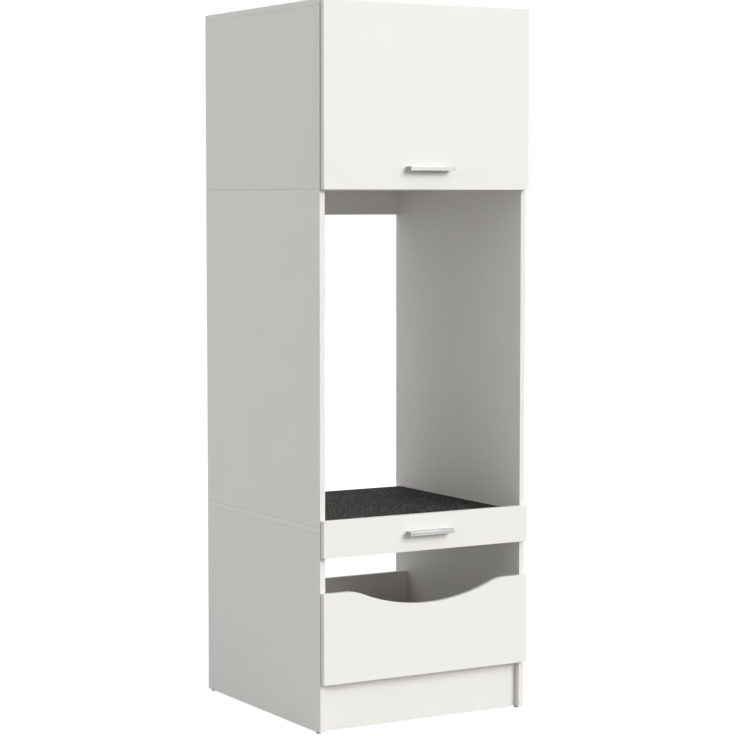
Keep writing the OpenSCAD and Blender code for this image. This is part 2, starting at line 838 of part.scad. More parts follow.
// A handle with a leg at each end for its screws
module handle(z) {
    color([0.78, 0.78, 0.78]) placed() translate([0, face_y, z + handle_h / 2]) difference() {
        union() {
            translate([-handle_l / 2, 0, 0]) rotate([90, 0, 90]) linear_extrude(handle_l) handle_profile();
            both_sides() translate([handle_pitch / 2 - handle_leg_w / 2, 0, 0]) rotate([90, 0, 90])
                linear_extrude(handle_leg_w) polygon([
                    [0, -handle_leg_inset], [-handle_proj + handle_leg_inset, -handle_leg_inset],
                    [-handle_proj + handle_leg_inset, -handle_h + handle_leg_inset], [0, -handle_leg_t]
                ]);
        }
        both_sides() translate([handle_pitch / 2, cut, -handle_screw_drop]) rotate([90, 0, 0])
            cylinder(d = handle_screw_d + fit_gap, h = handle_screw_grip + 2 * cut);
    }
}

module handle_screws(z) {
    color(steel) placed() both_sides()
        translate([handle_pitch / 2, -front_gap, z + handle_screw_rise]) rotate([90, 0, 0]) {
            cylinder(d = handle_screw_d, h = front_t + handle_screw_grip);
            translate([0, 0, -handle_head_t]) cylinder(d = handle_head_d, h = handle_head_t);
        }
}

module flap_door() {
    color(white) placed() difference() {
        front_board(cabinet_w - 2 * flap_side_gap, flap_z, flap_h);
        handle_holes(flap_handle_z);
        at_hinges() {
            translate([0, -front_gap + cut, cup_z]) rotate([90, 0, 0])
                cylinder(d = cup_d + 2 * fit_gap, h = cup_depth + fit_gap + cut);
            cup_screw_set(fit_gap);
        }
    }
}

module flap_handle() {
    handle(flap_handle_z);
}

module flap_handle_screws() {
    handle_screws(flap_handle_z);
}

module flap_buffers() {
    front_buffers(cabinet_w - 2 * flap_side_gap, flap_z + 2 * board_t);
}

// Pull-outs: a board on roller runners behind a front
function pullout_fits(z) = [for (x = [-pullout_fit_x, pullout_fit_x - dowel_step])
    [[x, -front_gap, z + board_t / 2], -y_axis, -z_axis, dowel_step * x_axis]];

module pullout_board(z) {
    color(white) placed() difference() {
        translate([-pullout_w / 2, -front_gap, z]) cube([pullout_w, pullout_d, board_t]);
        cam_board_bores(pullout_fits(z));
        both_sides() for (y = runner_screw_ys)
            rod_along([pullout_w / 2 + eps, y, z + board_t / 2], -x_axis, screw_l + fit_gap,
                edge_screw_d + 2 * fit_gap);
    }
}

module pullout_fittings(z) {
    color(steel) placed() {
        fit_dowels(pullout_fits(z));
        fit_bolts(pullout_fits(z));
        fit_cams(pullout_fits(z));
    }
}

// The moving runner with its screws: a flange that rides on the front roller, a web and an ear at the back
module pullout_runner(track_z) {
    color([0.93, 0.93, 0.92]) placed() both_sides() translate([inner_x, 0, track_z]) difference() {
        union() {
            translate([-runner_room, runner_setback, pull_flange_z]) {
                cube([pull_flange_w, runner_l, runner_t]);
                cube([runner_t, runner_l, runner_t + board_t]);
            }
            translate([-runner_room, rear_roller_y - ear_l / 2, ear_rise])
                cube([runner_t, ear_l, pull_flange_z - ear_rise + eps]);
            for (y = runner_screw_ys) {
                screw_z = board_seat_z + board_t / 2;
                rod_along([-web_s, y, screw_z], -x_axis, screw_l, edge_screw_d);
                rod_along([-web_s + edge_head_t, y, screw_z], -x_axis, edge_head_t + eps, edge_head_d);
            }
        }
        translate([-runner_room - cut, rear_roller_y, roller_z]) rotate([0, 90, 0])
            cylinder(d = axle_d + 2 * axle_gap, h = runner_t + 2 * cut);
    }
}

module rear_axles(track_z) {
    color(steel) placed() both_sides() translate([inner_x - runner_room, rear_roller_y, track_z + roller_z])
        rotate([0, 90, 0]) cylinder(d = axle_d, h = runner_room - roller_s + roller_gap);
}

module roller_pair(track_z, y) {
    color([0.9, 0.9, 0.88]) placed() both_sides()
        translate([inner_x - roller_s - roller_w, y, track_z + roller_z]) rotate([0, 90, 0]) difference() {
            cylinder(d = roller_d, h = roller_w);
            translate([0, 0, -cut]) cylinder(d = axle_d + 2 * axle_gap, h = roller_w + 2 * cut);
        }
}

// The fixed runner: a C-shaped track with the front roller's axle
module cabinet_runner(track_z) {
    web_h = upper_flange_z + 2 * runner_t;
    difference() {
        translate([inner_x, runner_setback, track_z]) {
            translate([-runner_t, 0, -runner_t]) cube([runner_t, runner_l, web_h]);
            translate([-flange_w, 0, -runner_t]) cube([flange_w, runner_l, runner_t]);
            translate([-upper_flange_w, 0, upper_flange_z]) cube([upper_flange_w, runner_l, runner_t]);
        }
        runner_screw_set(track_z, fit_gap);
    }
}

module runner_screw_set(track_z, clearance = 0) {
    for (y = runner_screw_ys)
        screw([inner_x - runner_t, y, track_z + runner_screw_z], x_axis, screw_l, screw_d, screw_head_d,
            flat_head_t, clearance);
}

module cabinet_runners() {
    color([0.93, 0.93, 0.92]) placed() both_sides()
        for (z = [shelf_track_z, laundry_track_z]) cabinet_runner(z);
}

module cabinet_runner_screws() {
    color(steel) placed() both_sides() for (z = [shelf_track_z, laundry_track_z]) runner_screw_set(z);
}

module front_roller_pins() {
    reach = roller_s + roller_w + roller_gap;
    color(steel) placed() both_sides() for (z = [shelf_track_z, laundry_track_z])
        translate([inner_x - reach, front_roller_y, z + roller_z]) rotate([0, 90, 0])
            cylinder(d = axle_d, h = reach - runner_t);
}

module shelf_board() {
    pullout_board(shelf_board_z);
}

module shelf_front() {
    color(white) placed() difference() {
        front_board(cabinet_w - 2 * drawer_side_gap, shelf_front_z, shelf_front_h);
        handle_holes(shelf_handle_z);
        mate_board_bores(pullout_fits(shelf_board_z));
    }
}

module shelf_handle() {
    handle(shelf_handle_z);
}

module shelf_handle_screws() {
    handle_screws(shelf_handle_z);
}

module shelf_buffers() {
    front_buffers(cabinet_w - 2 * drawer_side_gap, shelf_front_z + board_t);
}

module shelf_fittings() {
    pullout_fittings(shelf_board_z);
}

module shelf_runners() {
    pullout_runner(shelf_track_z);
}

module shelf_roller_pins() {
    rear_axles(shelf_track_z);
}

module shelf_front_rollers() {
    roller_pair(shelf_track_z, front_roller_y);
}

module shelf_rear_rollers() {
    roller_pair(shelf_track_z, rear_roller_y);
}

module laundry_board() {
    pullout_board(laundry_board_z);
}

// The wave: a hollow arc that runs into a brow arc at each end
function wave_drop(x) = let(
    a = abs(x),
    hollow_x = wave_hollow_r * sin(wave_angle),
    to_end = wave_half_w - a
) a < hollow_x
    ? wave_depth - wave_hollow_r + sqrt(pow(wave_hollow_r, 2) - a * a)
    : wave_brow_r - sqrt(pow(wave_brow_r, 2) - to_end * to_end);

module laundry_front() {
    w = cabinet_w - 2 * drawer_side_gap;
    top_edge = [for (i = [-wave_steps : wave_steps]) let(x = wave_half_w * i / wave_steps)
        [x, laundry_front_h - wave_drop(x)]];
    ends = [[w / 2, laundry_front_h], [w / 2, 0], [-w / 2, 0], [-w / 2, laundry_front_h]];
    color(white) placed() difference() {
        translate([0, -front_gap, bottom_z]) rotate([90, 0, 0]) linear_extrude(front_t)
            polygon(concat(ends, top_edge));
        mate_board_bores(pullout_fits(laundry_board_z));
        both_sides() bracket_screw_set(fit_gap);
    }
}

module laundry_rear_stop() {
    color(white) placed()
        translate([-pullout_w / 2 + stop_inset, pullout_d - front_gap - board_t, laundry_board_z + board_t])
            cube([pullout_w - 2 * stop_inset, board_t, rear_stop_h]);
}

module laundry_buffers() {
    front_buffers(cabinet_w - 2 * drawer_side_gap, bottom_z + 2 * board_t);
}

module laundry_fittings() {
    pullout_fittings(laundry_board_z);
}

module bracket_screw_set(clearance = 0) {
    screw([bracket_x, -front_gap + bracket_t, laundry_board_z + board_t + bracket_leg - brace_screw_drop],
        -y_axis, screw_l, screw_d, screw_head_d, brace_head_t, clearance);
}

// Steel angles that brace the laundry front, with their screws into the front
module laundry_front_brackets() {
    color(steel) placed() both_sides() {
        translate([bracket_x - bracket_leg_w / 2, -front_gap, laundry_board_z + board_t]) {
            cube([bracket_leg_w, bracket_leg, bracket_t]);
            cube([bracket_leg_w, bracket_t, bracket_leg]);
        }
        bracket_screw_set();
    }
}

module laundry_runners() {
    pullout_runner(laundry_track_z);
}

module laundry_roller_pins() {
    rear_axles(laundry_track_z);
}

module laundry_front_rollers() {
    roller_pair(laundry_track_z, front_roller_y);
}

module laundry_rear_rollers() {
    roller_pair(laundry_track_z, rear_roller_y);
}

base_side_left();
base_side_right();
base_bottom_board();
plinth_board();
base_rear_board();
platform_board();
anti_vibration_mat();
glides();
bay_side_left();
bay_side_right();
bay_rear_rail();
upper_side_left();
upper_side_right();
upper_bottom_board();
top_board();
upper_back_panel();
wall_fixing_rail();
dowels();
cam_locks();
cam_bolts();
hinge_plates();
hinge_plate_screws();
hinge_arms();
hinge_arm_pins();
stay_side_brackets();
stay_bracket_screws();
cabinet_runners();
cabinet_runner_screws();
front_roller_pins();
flap_door();
flap_handle();
flap_handle_screws();
flap_buffers();
hinge_cups();
hinge_cup_pins();
hinge_cup_screws();
stay_flap_brackets();
hinge_links();
stay_cylinders();
stay_rods();
shelf_board();
shelf_front();
shelf_handle();
shelf_handle_screws();
shelf_buffers();
shelf_fittings();
shelf_runners();
shelf_roller_pins();
shelf_front_rollers();
shelf_rear_rollers();
laundry_board();
laundry_front();
laundry_rear_stop();
laundry_buffers();
laundry_fittings();
laundry_front_brackets();
laundry_runners();
laundry_roller_pins();
laundry_front_rollers();
laundry_rear_rollers();
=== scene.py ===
"""Dresses the tall washing machine cabinet: boards, wave front, handles, mat, glides and studio."""

import json
import math
import random

import bmesh
import bpy
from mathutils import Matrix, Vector

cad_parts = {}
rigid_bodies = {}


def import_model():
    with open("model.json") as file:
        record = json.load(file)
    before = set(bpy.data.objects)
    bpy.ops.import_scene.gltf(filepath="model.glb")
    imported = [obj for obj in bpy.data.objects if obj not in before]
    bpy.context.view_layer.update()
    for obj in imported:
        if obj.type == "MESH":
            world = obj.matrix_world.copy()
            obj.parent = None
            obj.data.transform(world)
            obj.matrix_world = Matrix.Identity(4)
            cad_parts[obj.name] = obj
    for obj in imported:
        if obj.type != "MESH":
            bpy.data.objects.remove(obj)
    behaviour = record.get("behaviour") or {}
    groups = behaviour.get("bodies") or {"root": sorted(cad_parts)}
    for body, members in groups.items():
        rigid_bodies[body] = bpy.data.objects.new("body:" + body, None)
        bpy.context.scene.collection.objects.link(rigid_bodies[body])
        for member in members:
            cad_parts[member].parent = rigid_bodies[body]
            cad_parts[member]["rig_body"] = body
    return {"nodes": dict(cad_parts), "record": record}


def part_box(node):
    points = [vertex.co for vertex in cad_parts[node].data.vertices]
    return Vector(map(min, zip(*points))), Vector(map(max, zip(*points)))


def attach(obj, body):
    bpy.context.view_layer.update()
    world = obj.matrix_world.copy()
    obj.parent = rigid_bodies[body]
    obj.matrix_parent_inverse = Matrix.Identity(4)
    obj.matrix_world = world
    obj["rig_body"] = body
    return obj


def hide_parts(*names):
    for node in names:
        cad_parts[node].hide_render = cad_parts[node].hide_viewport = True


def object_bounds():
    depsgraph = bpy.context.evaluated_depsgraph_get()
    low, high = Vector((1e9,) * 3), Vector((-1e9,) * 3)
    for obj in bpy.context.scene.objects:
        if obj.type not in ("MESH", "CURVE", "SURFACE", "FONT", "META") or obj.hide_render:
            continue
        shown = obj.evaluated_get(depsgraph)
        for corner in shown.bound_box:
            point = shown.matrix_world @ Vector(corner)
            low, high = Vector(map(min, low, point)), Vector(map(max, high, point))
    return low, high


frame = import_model()
cad_low, cad_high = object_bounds()
nodes = frame["nodes"]
node_slots = {row["node"]: row["material_slot"] for row in frame["record"]["subparts"]}

# Camera: the photograph's view without lens shift, placed from the foot of the left front corner
FRAME_PX = 736
FOCAL_PX = 2295.1
CAMERA_FROM_CORNER = (-3.0187, -5.4115, 1.4598)
CAMERA_YAW = 30.36
CAMERA_PITCH = -4.17
SENSOR = 36.0

# Light, with its angles in degrees. A lamp's turn goes from the front towards the right side.
AMBIENT = 0.16
LAMPS = {
    "key": {"turn": 28, "rise": 25.5, "spread": 34, "strength": 2.37},
    "left": {"turn": -85, "rise": 20, "spread": 50, "strength": 0.46},
    "left_back": {"turn": -110, "rise": 20, "spread": 50, "strength": 0.40},
    "left_front": {"turn": -60, "rise": 12, "spread": 50, "strength": 0.24},
    "right": {"turn": 60, "rise": 20, "spread": 50, "strength": 0.16},
    "right_high": {"turn": 60, "rise": 50, "spread": 50, "strength": 0.34},
    "top": {"turn": 0, "rise": 89, "spread": 50, "strength": 0.58},
}
FLOOR_SIZE = 40.0
FLOOR_COLOUR = (0.35, 0.35, 0.34, 1.0)
FLOOR_GLOW = 0.85
FLOOR_ROUGHNESS = 0.9
FLOOR_SPECULAR = 0.1
WHITE = (1.0, 1.0, 1.0, 1.0)

# Textures: most of a noise lies between these two values
NOISE_LOW = 0.3
NOISE_HIGH = 0.7
BOARD_WARMTH = 0.055
METAL_WARMTH = 0.02
CHIP_SCALE = 420.0
CRUMB_SCALE = 290.0

# Meshes, in metres and degrees: points closer than WELD are one point, a point within ON_PLANE of
# a plane lies on it, faces that differ by less than SAME_FACE_ANGLE become one, and a face is
# level where a part of its normal is larger than LEVEL
WELD = 1e-6
ON_PLANE = 2e-5
SAME_FACE_ANGLE = 0.5
LEVEL = 0.9999

# Shading: corners sharper than this stay sharp, and level faces larger than this stay flat
SHARP_ANGLE = 40
FLAT_AREA = 5e-5

# Board finish: rounded edges, a hairline seam where one board meets the next, and the places of a
# board's three materials
EDGE_ROUND = 0.0005
EDGE_STEPS = 3
SEAM = 0.00022
FACE, BAND, RAW = range(3)

# Wave front. The wave's own sizes are the part's.
WAVE_DEPTH = 0.051
WAVE_HALF_W = 0.262
WAVE_HOLLOW_R = 0.550
WAVE_STEPS = 90

# Handles: a plate that bends into the front lip, and a wedge-shaped leg at each end, which stays
# by LEG_SUNK behind the plate's outer faces
PLATE_T = 0.003
BEND_R = 0.0013
BEND_STEPS = 8
LIP_R = 0.0006
LIP_STEPS = 3
LEG_W = 0.014
LEG_DOOR_T = 0.0066
LEG_INSET = 0.0005
LEG_SUNK = 0.001
PLATE_END_R = 0.0004
LEG_END_R = 0.0003
SOFT_STEPS = 2

# Mat: cut edges that aren't quite straight, and a soft upper rim
MAT_STEP = 0.006
MAT_RAGGED = 0.0004
MAT_RIM = 0.0008
MAT_SEED = 4

# Glides: a domed rim round a sole with a shallow hollow, and a bevelled shoulder. The radii of
# the hollow and the sole are shares of the glide's own radius.
GLIDE_RIM = 0.0012
GLIDE_RIM_STEPS = 5
GLIDE_HOLLOW_R = 0.55
GLIDE_HOLLOW_H = 0.0004
GLIDE_SOLE_R = 0.6
GLIDE_SHOULDER_W = 0.0005
GLIDE_SHOULDER_H = 0.0006
LATHE_STEPS = 32


def grey(value, warmth=0.0):
    """A linear grey, with its blue taken down by warmth."""
    return (value, value * (1 - warmth / 3), value * (1 - warmth), 1.0)


class Graph:
    """A material's node tree, built one node at a time. Scales are in features per metre."""

    def __init__(self, name):
        self.material = bpy.data.materials.new(name)
        self.material.use_nodes = True
        self.tree = self.material.node_tree
        self.shader = self.tree.nodes["Principled BSDF"]
        self.place = self.node("ShaderNodeTexCoord").outputs["Object"]

    def node(self, kind, inputs=()):
        made = self.tree.nodes.new(kind)
        for key, value in dict(inputs).items():
            self.put(made.inputs[key], value)
        return made

    def put(self, socket, value):
        if isinstance(value, bpy.types.NodeSocket):
            self.tree.links.new(value, socket)
        else:
            socket.default_value = value

    def set(self, **sockets):
        """Sets the shader's sockets; an underscore stands for a space in a socket's name."""
        for key, value in sockets.items():
            self.put(self.shader.inputs[key.replace("_", " ")], value)

    def stretched(self, x, y, z):
        """The place on the piece, scaled along each axis."""
        return self.node(
            "ShaderNodeMapping", {"Vector": self.place, "Scale": (x, y, z)}
        ).outputs["Vector"]

    def noise(self, scale, detail=2.0, place=None):
        return self.node(
            "ShaderNodeTexNoise",
            {"Vector": place or self.place, "Scale": scale, "Detail": detail},
        ).outputs["Fac"]

    def cells(self, scale, output, place=None):
        return self.node(
            "ShaderNodeTexVoronoi", {"Vector": place or self.place, "Scale": scale}
        ).outputs[output]

    def shade_of(self, colour):
        """One number for each cell, taken from its random colour."""
        return self.node("ShaderNodeSeparateColor", {"Color": colour}).outputs[0]

    def ramp(self, factor, *stops):
        """A colour ramp through (position, colour) stops."""
        made = self.node("ShaderNodeValToRGB", {"Fac": factor})
        bands = made.color_ramp.elements
        bands.remove(bands[1])
        bands[0].position, bands[0].color = stops[0]
        for position, colour in stops[1:]:
            bands.new(position).color = colour
        return made.outputs["Color"]

    def blend(self, noise, low, high):
        """From one colour to another over a noise's usual range."""
        return self.ramp(noise, (NOISE_LOW, low), (NOISE_HIGH, high))

    def span(self, noise, low, high):
        """From one number to another over a noise's usual range."""
        return self.node(
            "ShaderNodeMapRange",
            {
                "Value": noise,
                "From Min": NOISE_LOW,
                "From Max": NOISE_HIGH,
                "To Min": low,
                "To Max": high,
            },
        ).outputs["Result"]

    def relief(self, height, depth, below=None):
        """A bump of that depth in metres, on top of an earlier one."""
        inputs = {"Height": height, "Distance": depth, "Strength": 1.0}
        if below:
            inputs["Normal"] = below
        return self.node("ShaderNodeBump", inputs).outputs["Normal"]


def melamine(name, value, roughness, pearl):
    """Coated board: even white, a faint cloudiness and a pearl texture of about a millimetre."""
    graph = Graph(name)
    clouds = graph.noise(7.0, detail=3.0)
    waves = graph.relief(graph.noise(14.0), depth=0.0001)
    graph.set(
        Base_Color=graph.blend(clouds, grey(value * 0.988, BOARD_WARMTH), grey(value, BOARD_WARMTH)),
        Roughness=graph.span(graph.noise(90.0), roughness - 0.04, roughness + 0.04),
        Specular_IOR_Level=0.42,
        Normal=graph.relief(graph.noise(900.0, detail=1.0), depth=pearl, below=waves),
    )
    return graph.material


def edging():
    """Plastic edge band: smoother than the board, with faint lines along upright edges."""
    graph = Graph("edge_band")
    lines = graph.noise(1.0, detail=1.0, place=graph.stretched(1400.0, 1400.0, 14.0))
    graph.set(
        Base_Color=graph.blend(graph.noise(30.0), grey(0.845, BOARD_WARMTH), grey(0.86, BOARD_WARMTH)),
        Roughness=graph.span(lines, 0.3, 0.4),
        Specular_IOR_Level=0.45,
        Normal=graph.relief(lines, depth=0.00001),
    )
    return graph.material


def chipboard():
    """Raw particle board, in bores and grooves."""
    graph = Graph("chipboard_core")
    chips = graph.shade_of(graph.cells(CHIP_SCALE, "Color", graph.stretched(1.0, 1.0, 2.4)))
    graph.set(
        Base_Color=graph.ramp(
            chips,
            (0.0, (0.24, 0.15, 0.08, 1.0)),
            (0.5, (0.46, 0.33, 0.19, 1.0)),
            (1.0, (0.63, 0.49, 0.31, 1.0)),
        ),
        Roughness=graph.span(graph.noise(300.0), 0.8, 0.95),
        Normal=graph.relief(graph.cells(CHIP_SCALE, "Distance"), depth=0.0005),
    )
    return graph.material


def granulate():
    """Bonded rubber granulate: black crumbs with some grey ones."""
    graph = Graph("rubber_granulate")
    hollows = graph.relief(graph.noise(45.0, detail=3.0), depth=0.0012)
    graph.set(
        Base_Color=graph.ramp(
            graph.shade_of(graph.cells(CRUMB_SCALE, "Color")),
            (0.0, grey(0.006)),
            (0.7, grey(0.014)),
            (0.86, grey(0.03)),
            (0.95, grey(0.13)),
            (1.0, grey(0.28)),
        ),
        Roughness=graph.span(graph.noise(400.0), 0.75, 0.92),
        Specular_IOR_Level=0.22,
        Normal=graph.relief(graph.cells(CRUMB_SCALE, "Distance"), depth=0.0009, below=hollows),
    )
    return graph.material


def metal(name, value, roughness, grain, depth, metallic=1.0):
    """Bare or plated metal: grain gives the texture's scale along each axis."""
    graph = Graph(name)
    stains = graph.noise(25.0, detail=3.0)
    marks = graph.noise(1.0, place=graph.stretched(*grain))
    graph.set(
        Base_Color=graph.blend(stains, grey(value * 0.94, METAL_WARMTH), grey(value, METAL_WARMTH)),
        Metallic=metallic,
        Roughness=graph.span(marks, roughness - 0.05, roughness + 0.06),
        Normal=graph.relief(marks, depth),
    )
    return graph.material


def coated(name, colour, roughness, grain, depth=0.00002, spread=0.05, coat=0.0):
    """Paint or moulded plastic with a fine texture; spread is how much darker its clouds are."""
    graph = Graph(name)
    darker = tuple(part * (1 - spread) for part in colour[:3]) + (1.0,)
    graph.set(
        Base_Color=graph.blend(graph.noise(40.0, detail=3.0), darker, colour),
        Roughness=graph.span(graph.noise(120.0), roughness - 0.05, roughness + 0.05),
        Coat_Weight=coat,
        Coat_Roughness=0.12,
        Normal=graph.relief(graph.noise(grain), depth),
    )
    return graph.material


def beech():
    """Pale wood with its grain across the cabinet."""
    graph = Graph("beech_wood")
    grain = graph.noise(1.0, detail=4.0, place=graph.stretched(30.0, 900.0, 900.0))
    graph.set(
        Base_Color=graph.blend(grain, (0.45, 0.28, 0.14, 1.0), (0.62, 0.43, 0.25, 1.0)),
        Roughness=graph.span(grain, 0.6, 0.75),
        Normal=graph.relief(grain, depth=0.0001),
    )
    return graph.material


def clear_soft():
    """Clear soft plastic of the buffers."""
    graph = Graph("clear_buffer")
    graph.set(
        Base_Color=graph.blend(graph.noise(200.0), grey(0.78), grey(0.86)),
        Roughness=graph.span(graph.noise(300.0), 0.25, 0.4),
        Transmission_Weight=0.6,
        IOR=1.45,
    )
    return graph.material


EDGE = edging()
CORE = chipboard()
FINISH = {
    "carcass_board": melamine("carcass_melamine", 0.86, 0.44, pearl=0.00002),
    "front_board": melamine("front_melamine", 0.865, 0.42, pearl=0.000016),
    "back_panel": melamine("lacquered_fibreboard", 0.82, 0.5, pearl=0.00003),
    "rubber_mat": granulate(),
    "black_plastic": coated("glide_plastic", grey(0.025), 0.45, 900.0, depth=0.00003, spread=0.2),
    "beech": beech(),
    "zinc": metal("zinc_cast", 0.55, 0.38, (700.0, 700.0, 700.0), 0.000006, metallic=0.95),
    "nickel_steel": metal("nickel_plate", 0.62, 0.24, (400.0, 1500.0, 1500.0), 0.000002),
    "white_runner_steel": coated(
        "runner_epoxy", grey(0.8, 0.02), 0.32, 500.0, depth=0.00003, spread=0.03, coat=0.3
    ),
    "roller_plastic": coated("roller_nylon", grey(0.76, 0.05), 0.42, 700.0, spread=0.04),
    "handle_aluminium": metal("satin_anodised", 0.43, 0.3, (30.0, 2600.0, 2600.0), 0.0000008),
    "clear_buffer": clear_soft(),
    "stay_black": coated("stay_paint", grey(0.022), 0.3, 400.0, spread=0.15, coat=0.5),
}


def shade(bm):
    """Flat on large level faces, smooth on rounds and bevels, sharp at corners."""
    bm.normal_update()
    for face in bm.faces:
        level = max(abs(part) for part in face.normal) > LEVEL
        face.smooth = not (level and face.calc_area() > FLAT_AREA)
    for edge in bm.edges:
        edge.smooth = edge.is_manifold and edge.calc_face_angle() < math.radians(SHARP_ANGLE)


def new_piece(name, bm, node, materials):
    """Turns a bmesh into the piece that stands for a CAD node and rides on its body."""
    shade(bm)
    mesh = bpy.data.meshes.new(name)
    bm.to_mesh(mesh)
    bm.free()
    for material in materials:
        mesh.materials.append(material)
    piece = bpy.data.objects.new(name, mesh)
    bpy.context.scene.collection.objects.link(piece)
    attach(piece, nodes[node]["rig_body"])
    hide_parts(node)


def prism(bm, outline, along):
    """A closed outline drawn along a vector. Gives back its near and its far points."""
    start = bm.faces.new([bm.verts.new(point) for point in outline])
    made = bmesh.ops.extrude_face_region(bm, geom=[start])["geom"]
    far = {item for item in made if isinstance(item, bmesh.types.BMVert)}
    bmesh.ops.translate(bm, vec=along, verts=list(far))
    near = set(start.verts)
    drawn = [face for face in bm.faces if set(face.verts) <= near | far]
    bmesh.ops.recalc_face_normals(bm, faces=drawn)
    return near, far


def rims(bm, *sides):
    """The edges whose points all belong to one of the sides."""
    return [edge for edge in bm.edges if any(set(edge.verts) <= side for side in sides)]


def rounded(bm, edges, radius, steps, material=FACE):
    """Rounds edges. The rounding takes that one of the piece's materials."""
    bmesh.ops.bevel(
        bm,
        geom=edges,
        offset=radius,
        segments=steps,
        profile=0.5,
        affect="EDGES",
        material=material,
    )


def arc(centre, radius, start, end, steps):
    """Points on an arc in a plane, from and to angles in degrees."""
    turns = [math.radians(start + (end - start) * i / steps) for i in range(steps + 1)]
    across, up = centre
    return [(across + radius * math.cos(turn), up + radius * math.sin(turn)) for turn in turns]


def planes_at(point, low, high):
    """The box's outer planes on which a point lies, as (axis, side) pairs."""
    return {
        (axis, side)
        for axis in range(3)
        for side, limit in enumerate((low[axis], high[axis]))
        if abs(point[axis] - limit) < ON_PLANE
    }


def sort_faces(bm, low, high, thin):
    """Gives the board's faces their materials: coated, edged, or raw where they lie inside."""
    for face in bm.faces:
        outer = planes_at(face.calc_center_median(), low, high)
        outward = {axis for axis, side in outer if abs(face.normal[axis]) > LEVEL}
        if not outward:
            face.material_index = RAW
        elif thin in outward:
            face.material_index = FACE
        else:
            face.material_index = BAND


def open_seams(bm, low, high, thin):
    """Moves the narrow outer faces in by a hairline, and the box's low and high with them."""
    for axis in {0, 1, 2} - {thin}:
        for vert in bm.verts:
            if abs(vert.co[axis] - low[axis]) < ON_PLANE:
                vert.co[axis] += SEAM
            elif abs(vert.co[axis] - high[axis]) < ON_PLANE:
                vert.co[axis] -= SEAM
        low[axis] += SEAM
        high[axis] -= SEAM


def dress_board(node):
    """A board with its real bores: rounded and edged outside, raw core inside the bores."""
    low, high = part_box(node)
    size = high - low
    thin = min(range(3), key=lambda axis: size[axis])
    bm = bmesh.new()
    bm.from_mesh(nodes[node].data)
    bmesh.ops.remove_doubles(bm, verts=bm.verts, dist=WELD)
    same = math.radians(SAME_FACE_ANGLE)
    bmesh.ops.dissolve_limit(bm, angle_limit=same, verts=bm.verts, edges=bm.edges)
    sort_faces(bm, low, high, thin)
    open_seams(bm, low, high, thin)
    corners = [
        edge
        for edge in bm.edges
        if len(set.intersection(*(planes_at(vert.co, low, high) for vert in edge.verts))) == 2
    ]
    rounded(bm, corners, EDGE_ROUND, EDGE_STEPS, BAND)
    new_piece(f"{node}_finished", bm, node, (FINISH[node_slots[node]], EDGE, CORE))


def wave_drop(x):
    """How far the wave lies below the front's top edge, at x from the middle."""
    turn = 2 * math.atan(WAVE_DEPTH / WAVE_HALF_W)
    brow_r = WAVE_HALF_W / math.sin(turn) - WAVE_HOLLOW_R
    if abs(x) < WAVE_HOLLOW_R * math.sin(turn):
        return WAVE_DEPTH - WAVE_HOLLOW_R + math.sqrt(WAVE_HOLLOW_R**2 - x * x)
    return brow_r - math.sqrt(brow_r**2 - (WAVE_HALF_W - abs(x)) ** 2)


def wave_front(node):
    """The laundry pull-out's front: one outline, extruded, with rounded and edged narrow faces."""
    low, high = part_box(node)
    wave = [WAVE_HALF_W * i / WAVE_STEPS for i in range(-WAVE_STEPS, WAVE_STEPS + 1)]
    outline = [(high.x, high.z), (high.x, low.z), (low.x, low.z), (low.x, high.z)]
    outline += [(x, high.z - wave_drop(x)) for x in wave]
    bm = bmesh.new()
    near, far = prism(bm, [(x, low.y, z) for x, z in outline], (0, high.y - low.y, 0))
    for face in bm.faces:
        face.material_index = FACE if abs(face.normal.y) > LEVEL else BAND
    rounded(bm, rims(bm, near, far), EDGE_ROUND, EDGE_STEPS, BAND)
    new_piece(f"{node}_finished", bm, node, (FINISH[node_slots[node]], EDGE))


def plate_profile(low, high):
    """The handle's plate in (y, z), from the door over the bend, down the lip and back."""
    door, lip, top, foot = high.y, low.y, high.z, low.z
    bend, inner = lip + BEND_R, lip + PLATE_T + BEND_R
    outline = [(door, top - PLATE_T), (door, top)]
    outline += arc((bend, top - BEND_R), BEND_R, 90, 180, BEND_STEPS)
    outline += arc((lip + LIP_R, foot + LIP_R), LIP_R, 180, 270, LIP_STEPS)
    outline += arc((lip + PLATE_T - LIP_R, foot + LIP_R), LIP_R, 270, 360, LIP_STEPS)
    outline += arc((inner, top - PLATE_T - BEND_R), BEND_R, 180, 90, BEND_STEPS)
    return outline


def leg_profile(low, high):
    """A handle's leg in (y, z), from the door to the foot of the lip."""
    door, lip, top, foot = high.y, low.y, high.z, low.z
    return [
        (door, top - LEG_DOOR_T),
        (door, top - LEG_SUNK),
        (lip + LEG_SUNK, top - LEG_SUNK),
        (lip + LEG_SUNK, foot + LEG_SUNK),
        (lip + PLATE_T, foot + LEG_SUNK),
    ]


def bar(bm, profile, x_from, x_to, rounding):
    """A (y, z) profile drawn along x, with its end rims rounded."""
    near, far = prism(bm, [(x_from, y, z) for y, z in profile], (x_to - x_from, 0, 0))
    rounded(bm, rims(bm, near, far), rounding, SOFT_STEPS)


def handle_piece(node):
    low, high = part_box(node)
    bm = bmesh.new()
    bar(bm, plate_profile(low, high), low.x, high.x, PLATE_END_R)
    for side in (low.x + LEG_INSET, high.x - LEG_INSET - LEG_W):
        bar(bm, leg_profile(low, high), side, side + LEG_W, LEG_END_R)
    new_piece(f"{node}_finished", bm, node, (FINISH[node_slots[node]],))


